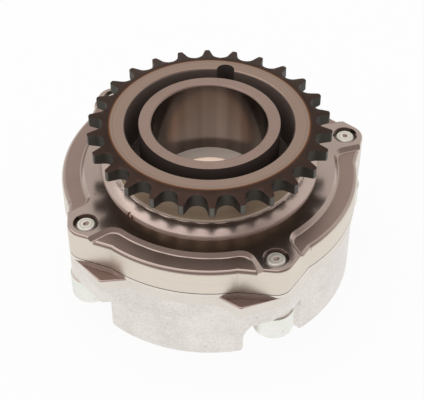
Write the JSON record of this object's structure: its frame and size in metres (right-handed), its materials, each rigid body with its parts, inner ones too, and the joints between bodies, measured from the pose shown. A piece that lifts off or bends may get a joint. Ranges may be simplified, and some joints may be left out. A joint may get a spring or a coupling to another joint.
{
  "type": "cam phaser",
  "caption": "Vane-type cam phaser: a chain sprocket on a neck above an eared plate, bolted to a lobed cast housing, with a hub that turns inside it.",
  "frame": {"origin": "on the camshaft axis, in the plane of the housing's front face", "axes": "+Z along the camshaft axis, from the housing's front face to the sprocket; +Y through the middle of the widest chamber, between the two bolts that stand furthest apart"},
  "size_m": [0.087, 0.0875, 0.052],
  "materials": {
    "sprocket_steel": "satin machined steel, heat-tinted brown round the teeth",
    "housing_casting": "die-cast, slightly rough",
    "rotor_steel": "turned, satin",
    "bolt_zinc": "zinc plated, pale green and pink sheen",
    "seal_strip": "matt",
    "spring_steel": "bright spring steel",
    "lock_steel": "ground hardened steel"
  },
  "bodies": {
    "housing": {"housing": "housing_casting", "sprocket_plate": "sprocket_steel", "clamp_bolts": "bolt_zinc", "lock_pin_bush": "lock_steel", "shoe_seal_1": "seal_strip", "shoe_seal_2": "seal_strip", "shoe_seal_3": "seal_strip", "shoe_seal_4": "seal_strip", "shoe_seal_spring_1": "spring_steel", "shoe_seal_spring_2": "spring_steel", "shoe_seal_spring_3": "spring_steel", "shoe_seal_spring_4": "spring_steel"},
    "rotor": {"rotor": "rotor_steel", "lock_pin_disc": "lock_steel", "lock_pin_spring": "spring_steel", "vane_seal_1": "seal_strip", "vane_seal_2": "seal_strip", "vane_seal_3": "seal_strip", "vane_seal_4": "seal_strip", "vane_seal_spring_1": "spring_steel", "vane_seal_spring_2": "spring_steel", "vane_seal_spring_3": "spring_steel", "vane_seal_spring_4": "spring_steel"},
    "lock_pin": {"lock_pin": "lock_steel"}
  },
  "joints": [
    {"name": "phasing", "type": "hinge", "parent": "housing", "child": "rotor", "pos_m": [0, 0, 0], "axis": [0, 0, 1], "range_deg": [0, 25]},
    {"name": "lock_pin_slide", "type": "slide", "parent": "rotor", "child": "lock_pin", "axis": [0, 0, -1], "range_m": [0, 0.002], "stiffness_N_per_m": 900, "springref_m": -0.005, "deforming": ["lock_pin_spring"]}
  ]
}
